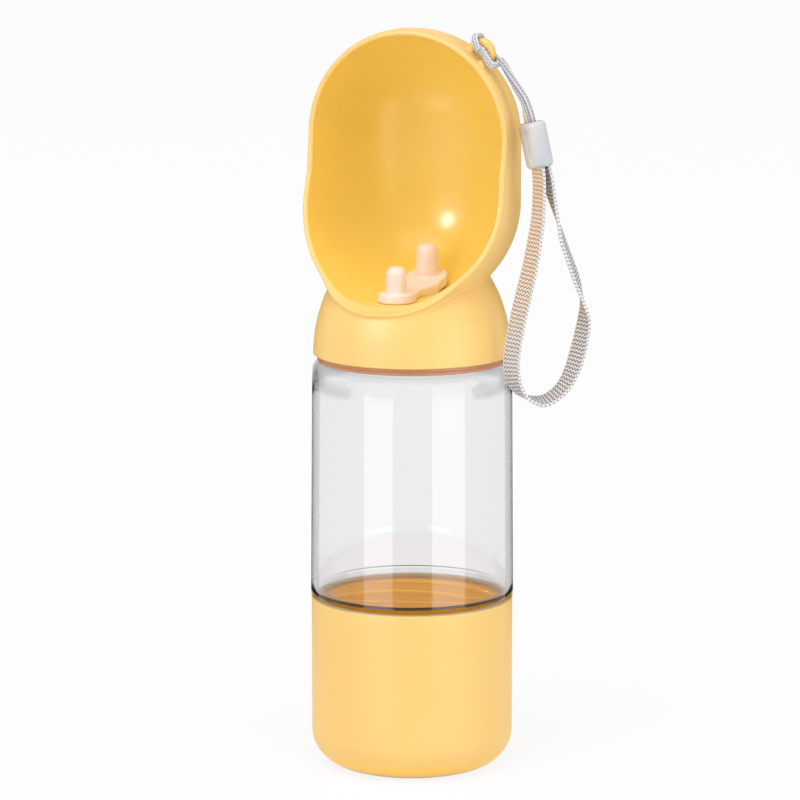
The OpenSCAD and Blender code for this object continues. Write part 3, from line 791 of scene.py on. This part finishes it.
def ribbon(name, route, width, thick, tint, cloth=strap_cloth, step=0.17, cells=44, section=None,
           waves=5, rib_mm=1.33, relief=0.11, sway=0.2, selvedge=True):
    """A woven ribbon with ribs across it, its faces carrying (across, along) UVs.

    tint gives the colours along it and section its thickness across it. Each rib has a number of
    waves and sways by a share of rib_mm. relief is its height in mm, and a selvedge is beaded."""
    points, wide, s = fine(route, step)
    side, face = frames(points, wide)
    u = np.concatenate([np.linspace(-1, 1, cells), [1.0], np.linspace(1, -1, cells), [-1.0]])
    up = np.concatenate([np.ones(cells), [0.0], -np.ones(cells), [0.0]])
    n, m = len(points), len(u)
    phase = s[:, None] / rib_mm + sway * np.sin(np.pi * waves * u)[None]
    edge = (np.abs(u) > 0.86) & selvedge
    rib = 0.5 + 0.5 * np.sin(TURN * phase)
    bead = 0.5 + 0.5 * np.sin(TURN * (phase + 0.5))
    shape = np.where(np.abs(u) > 0.98, 0.62, 1.0) if section is None else section(u)
    height = (thick / 2 - relief) * shape + relief * np.where(edge, bead, rib)
    out = width / 2 * u * (1 + np.where(up == 0, 0.045 * (bead - 0.5), 0))
    verts = (points[:, None] + side[:, None] * out[..., None]
             + face[:, None] * (up * height)[..., None])
    a = np.arange(n - 1)[:, None] * m + np.arange(m)[None]
    b = np.arange(n - 1)[:, None] * m + (np.arange(m)[None] + 1) % m
    quads = np.stack([a, b, b + m, a + m], -1).reshape(-1, 4)
    faces = quads.tolist() + [list(range(m))[::-1], list(range((n - 1) * m, n * m))]
    obj = new_object(name, verts.reshape(-1, 3), faces, [cloth])
    mesh = obj.data
    layer = mesh.uv_layers.new(name="weave")
    across = u / 2 + 0.5 if selvedge else 0.46 * u + 0.5
    uv = np.stack([np.broadcast_to(across, (n, m)), phase], -1).reshape(-1, 2)
    loops = np.empty(len(mesh.loops), np.int32)
    mesh.loops.foreach_get("vertex_index", loops)
    layer.data.foreach_set("uv", uv[loops].astype(np.float32).ravel())
    hue = mesh.color_attributes.new("tint", "FLOAT_COLOR", "POINT")
    colours = np.ones((n, m, 4), np.float32)
    base = tint(s / s[-1])
    back = np.array(srgb(132, 124, 122)[:3])
    colours[..., :3] = np.where(up[None, :, None] < 0, back[None, None], base[:, None])
    hue.data.foreach_set("color", colours.ravel())
    return obj, points


def blend_colours(stops):
    """Colours along a strap's length, blended between (share of the length, colour) stops."""
    at = [q[0] for q in stops]
    table = np.array([srgb(*q[1])[:3] for q in stops])
    return lambda t: np.stack([np.interp(t, at, table[:, k]) for k in range(3)], 1)


def bundle(folds):
    """Half-thickness across a ribbon gathered into lengthwise folds."""
    def section(u):
        fold = np.abs(np.cos(np.pi * folds * (u + 1) / 2 + np.pi / 2))
        return np.sqrt(np.maximum(1 - (0.93 * u) ** 2, 0)) * (0.62 + 0.38 * np.sqrt(fold))
    return section


def make_strap():
    gold = blend_colours([(0, (204, 158, 88)), (0.16, (184, 144, 92)), (0.3, (170, 142, 106)),
                          (0.42, (150, 140, 138)), (0.6, (138, 126, 118)), (1, (118, 117, 128))])
    loop, path = ribbon("strap_hand_loop", LOOP, 5.7, 1.15, gold)
    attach(loop, "strap")
    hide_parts("strap_loop")
    pale = blend_colours([(0, (104, 107, 128)), (0.5, (126, 122, 132)), (1, (148, 126, 110))])
    warm = blend_colours([(0, (200, 160, 108)), (1, (190, 148, 96))])
    upper, path = ribbon("strap_upper_run", UPPER, 3.6, 2.4, pale, braid_cloth, section=bundle(5),
                         waves=2.5, rib_mm=1.1, relief=0.05, sway=0.3, selvedge=False)
    edge, _ = ribbon("strap_upper_edge", UPPER_EDGE, 1.5, 1.0, warm, braid_cloth, cells=14,
                     waves=2, selvedge=False)
    for obj in (upper, edge):
        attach(obj, "strap")
    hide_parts("strap_upper")


make_strap()

# Hitch: the strap's doubled end, bunched, round the upper and the lower side of the lug's band
HITCH_OVER = [
    ((6.1, 1.2, -2.6), (0.4, 0.1, 0.9)), ((3.6, 2.7, -1.6), (0.4, 0, 0.9)),
    ((1.5, 2.9, 0.4), (0.7, -0.1, 0.7)), ((0.2, 2.9, 2.2), (0.7, -0.1, 0.7)),
    ((-0.7, 2.6, 3.9), (0.7, -0.4, 0.6)), ((-0.9, 1.9, 5.1), (0.8, -0.4, 0.4)),
    ((-1.0, 0.8, 5.6), (0.8, -0.5, 0.2)), ((-1.1, -0.3, 5.7), (0.9, -0.4, 0.2)),
    ((-1.3, -1.2, 5.7), (0.9, -0.3, 0.2)), ((-1.3, -2, 5.1), (0.9, -0.2, 0.2)),
    ((-1.2, -2.5, 4.3), (1, -0.1, 0.2)), ((-0.7, -2.6, 3), (0.9, 0, 0.3)),
    ((-0.2, -2.5, 1.7), (0.9, -0.1, 0.3)), ((0.1, -1.7, 0.8), (1, 0.2, 0.2)),
    ((0.3, -0.8, 0.3), (1, 0.2, 0.2)),
]
HITCH_UNDER = [
    ((0.5, -1.1, 0.6), (1, 0, 0.5)), ((1.5, -2.2, 1), (0.4, -0.3, 0.8)),
    ((2.5, -2.7, -0.2), (0.7, -0.2, 0.7)), ((3.3, -2.7, -1.7), (0.8, -0.1, 0.6)),
    ((4.2, -2.6, -3), (0.8, 0.1, 0.7)), ((5, -2.2, -3.7), (0.5, -0.1, 0.8)),
    ((5.9, -1.6, -3.5), (0.3, -0.2, 0.8)), ((6.8, -1.1, -2.9), (0.2, -0.5, 0.8)),
    ((7.8, -0.8, -2.4), (0.2, -0.7, 0.7)),
]


def make_hitch():
    pale = blend_colours([(0, (126, 129, 148)), (1, (138, 137, 148))])
    for name, route in (("strap_hitch_over", HITCH_OVER), ("strap_hitch_under", HITCH_UNDER)):
        obj, _ = ribbon(name, route, 2.35, 1.5, pale, hitch_cloth, step=0.12, cells=25,
                        section=bundle(3), waves=1.5, rib_mm=1.15, relief=0.04, sway=0.3,
                        selvedge=False)
        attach(obj, "strap")
        if name == "strap_hitch_over":
            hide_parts("strap_hitch")


make_hitch()

# ---------------------------------------------------------------- slider


def make_slider():
    count, half_l, end_round = 160, 7.4, 1.4
    lean, turn = math.radians(-13), math.radians(-26.5)

    def oblong(a, b, r):
        """Points round a rounded rectangle of half sizes a and b, evenly by length."""
        spots = []
        for cx, cy, q in ((a - r, b - r, 0), (r - a, b - r, 90),
                          (r - a, r - b, 180), (a - r, r - b, 270)):
            spots += arc(cx, cy, r, q, q + 90, 16)
        p = np.array(spots + [spots[0]])
        s = np.concatenate([[0], np.cumsum(np.linalg.norm(np.diff(p, axis=0), axis=1))])
        at = np.linspace(0, s[-1], count, endpoint=False)
        return np.stack([np.interp(at, s, p[:, 0]), np.interp(at, s, p[:, 1])], 1)

    def rounded_end(sign):
        """Rings round an end's outer edge, from the skin in towards the bore."""
        rings = []
        for q in np.radians(np.linspace(12, 90, 9)):
            inset = end_round * (1 - math.cos(q))
            z = half_l - end_round + end_round * math.sin(q)
            rings.append((oblong(4.9 - inset, 3.2 - inset, 3.0 - inset), sign * z, False))
        return rings

    # From the outside up and over the top, down the bore, and round the bottom back again
    rings = [(oblong(4.9, 3.2, 3.0), z, True)
             for z in np.linspace(-half_l + end_round, half_l - end_round, 70)]
    rings += rounded_end(1)
    for z, a, b, r in ((half_l, 3.65, 2.3, 0.9), (half_l - 0.1, 3.45, 2.15, 0.8),
                       (half_l - 0.5, 3.4, 2.1, 0.7), (0, 3.4, 2.1, 0.7),
                       (0.5 - half_l, 3.4, 2.1, 0.7), (0.1 - half_l, 3.45, 2.15, 0.8),
                       (-half_l, 3.65, 2.3, 0.9)):
        rings.append((oblong(a, b, r), z, False))
    rings += rounded_end(-1)[::-1]
    verts = []
    for p, z, skin in rings:
        x, y = p[:, 0].copy(), p[:, 1].copy()
        if skin:
            # A shallow slot down the middle of both flat sides
            dx = np.maximum(np.abs(x + 0.25) - 0.2, 0)
            away = np.hypot(dx, max(abs(z) - 4.3, 0))
            flat = np.abs(y) > 2.6
            y += np.sign(y) * np.where(flat, -0.45 * np.clip((0.7 - away) / 0.25, 0, 1), 0)
        verts.append(np.stack([x, y, np.full(count, z)], 1))
    verts = np.concatenate(verts)
    faces, n = [], len(rings)
    for i in range(n):
        for j in range(count):
            k, a, b = (j + 1) % count, i * count, ((i + 1) % n) * count
            faces.append((a + j, a + k, b + k, b + j))
    x = verts[:, 0] * math.cos(turn) - verts[:, 1] * math.sin(turn)
    y = verts[:, 0] * math.sin(turn) + verts[:, 1] * math.cos(turn)
    z = verts[:, 2]
    verts = np.stack([x * math.cos(lean) + z * math.sin(lean), y,
                      -x * math.sin(lean) + z * math.cos(lean)], 1)
    obj = new_object("strap_slider_bead", verts + STRAP_ORIGIN + SLIDER_CENTRE, faces,
                     [slider_grey])
    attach(obj, "slider")
    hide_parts("strap_slider")


make_slider()

# ---------------------------------------------------------------- floor, light and surroundings


def seen_directly(tree):
    """1 where the camera sees a surface, straight or through a mirror or clear plastic."""
    path = tree.nodes.new("ShaderNodeLightPath").outputs
    last = path["Is Camera Ray"]
    for kind in ("Is Glossy Ray", "Is Transmission Ray"):
        most = tree.nodes.new("ShaderNodeMath")
        most.operation = "MAXIMUM"
        tree.links.new(last, most.inputs[0])
        tree.links.new(path[kind], most.inputs[1])
        last = most.outputs[0]
    return last


def make_stage():
    size = 30
    floor = bpy.data.meshes.new("floor")
    floor.from_pydata([(-size, -size, 0), (size, -size, 0), (size, size, 0), (-size, size, 0)],
                      [], [(0, 1, 2, 3)])
    m = Shader("floor_white", Roughness=0.9, Specular_IOR_Level=0.0)
    m.link(m.ramp(m.noise(2, 2), [(0, 0.88), (1, 0.89)]), "Base Color")
    share = m.math("MULTIPLY", seen_directly(m.tree), 0.87)
    white = m.node("ShaderNodeEmission", {"Color": (1, 1, 1, 1), "Strength": 1.0})
    both = m.node("ShaderNodeMixShader", {0: share, 1: m.main.outputs[0], 2: white.outputs[0]})
    m.link(both.outputs[0], m.tree.nodes["Material Output"].inputs["Surface"])
    floor.materials.append(m.material)
    obj = add_object("floor", floor)

    world = bpy.data.worlds.new("studio")
    bpy.context.scene.world = world
    world.use_nodes = True
    tree = world.node_tree
    tree.nodes.clear()
    mix = tree.nodes.new("ShaderNodeMixShader")
    tree.links.new(seen_directly(tree), mix.inputs[0])
    # A soft fill on the object, and white where the world itself is seen
    for slot, strength in ((1, 0.4), (2, 1.0)):
        plain = tree.nodes.new("ShaderNodeBackground")
        plain.inputs["Color"].default_value = (1, 1, 1, 1)
        plain.inputs["Strength"].default_value = strength
        tree.links.new(plain.outputs[0], mix.inputs[slot])
    out = tree.nodes.new("ShaderNodeOutputWorld")
    tree.links.new(mix.outputs[0], out.inputs["Surface"])


def lamp(name, azimuth, elevation, distance, size, power, aim=(0, 0, 0.15)):
    """An area lamp in a direction given as in toward(), facing aim."""
    data = bpy.data.lights.new(name, "AREA")
    data.shape = "RECTANGLE"
    data.size, data.size_y = size
    data.energy = power
    obj = add_object(name, data)
    away = toward(azimuth, elevation)
    obj.location = Vector(aim) + away * distance
    obj.rotation_euler = (-away).to_track_quat("-Z", "Y").to_euler()
    return obj


def reflected_only(obj):
    """A light card that shows in gloss and lights nothing else."""
    obj.visible_camera = False
    obj.visible_diffuse = False
    obj.visible_transmission = False
    obj.visible_shadow = False


def dark_card(name, azimuth):
    """A black card behind the object, seen only in gloss, which draws the edges of round parts."""
    mesh = bpy.data.meshes.new(name)
    mesh.from_pydata([(-0.09, 0, 0), (0.09, 0, 0), (0.09, 0, 0.3), (-0.09, 0, 0.3)],
                     [], [(0, 1, 2, 3)])
    black = Shader("card_black", Base_Color=(0.02, 0.02, 0.02, 1), Roughness=0.9)
    mesh.materials.append(black.material)
    obj = add_object(name, mesh)
    a = AZIMUTH + math.radians(azimuth)
    obj.location = (0.22 * math.sin(a), -0.22 * math.cos(a), 0.001)
    obj.rotation_euler = (0, 0, a)
    reflected_only(obj)


def make_lights():
    sun = bpy.data.lights.new("sky_card", "SUN")
    sun.energy = 1.5
    sun.angle = math.radians(50)
    obj = add_object("sky_card", sun)
    obj.rotation_euler = toward(-15, 68).to_track_quat("Z", "Y").to_euler()
    distance, softbox = 1.6, (0.9, 1.3)
    lamp("soft_left", -42, 14, distance, softbox, 6)
    lamp("soft_right", 60, 14, distance, softbox, 6.5)
    # Two more from the sides and back, kept out of the gloss
    for name, azimuth, power in (("side_right", 108, 2), ("side_left", -125, 2.4)):
        lamp(name, azimuth, 20, distance, softbox, power).visible_glossy = False
    # The small bright spot in the bowl
    spot = lamp("round_left", -46, 28, distance, (0.36, 0.36), 16)
    spot.data.shape = "DISK"
    reflected_only(spot)
    # Cards by the bottle's foot, for the upright bands of light on it and the streak in the bowl
    reflected_only(lamp("card_left", -37, 0, 0.25, (0.146, 0.09), 0.11, (0, 0, 0.046)))
    reflected_only(lamp("card_right", 40, 0, 0.25, (0.171, 0.18), 0.27, (0, 0, 0.091)))


make_stage()
make_lights()
dark_card("dark_card_left", -148)
dark_card("dark_card_right", 148)
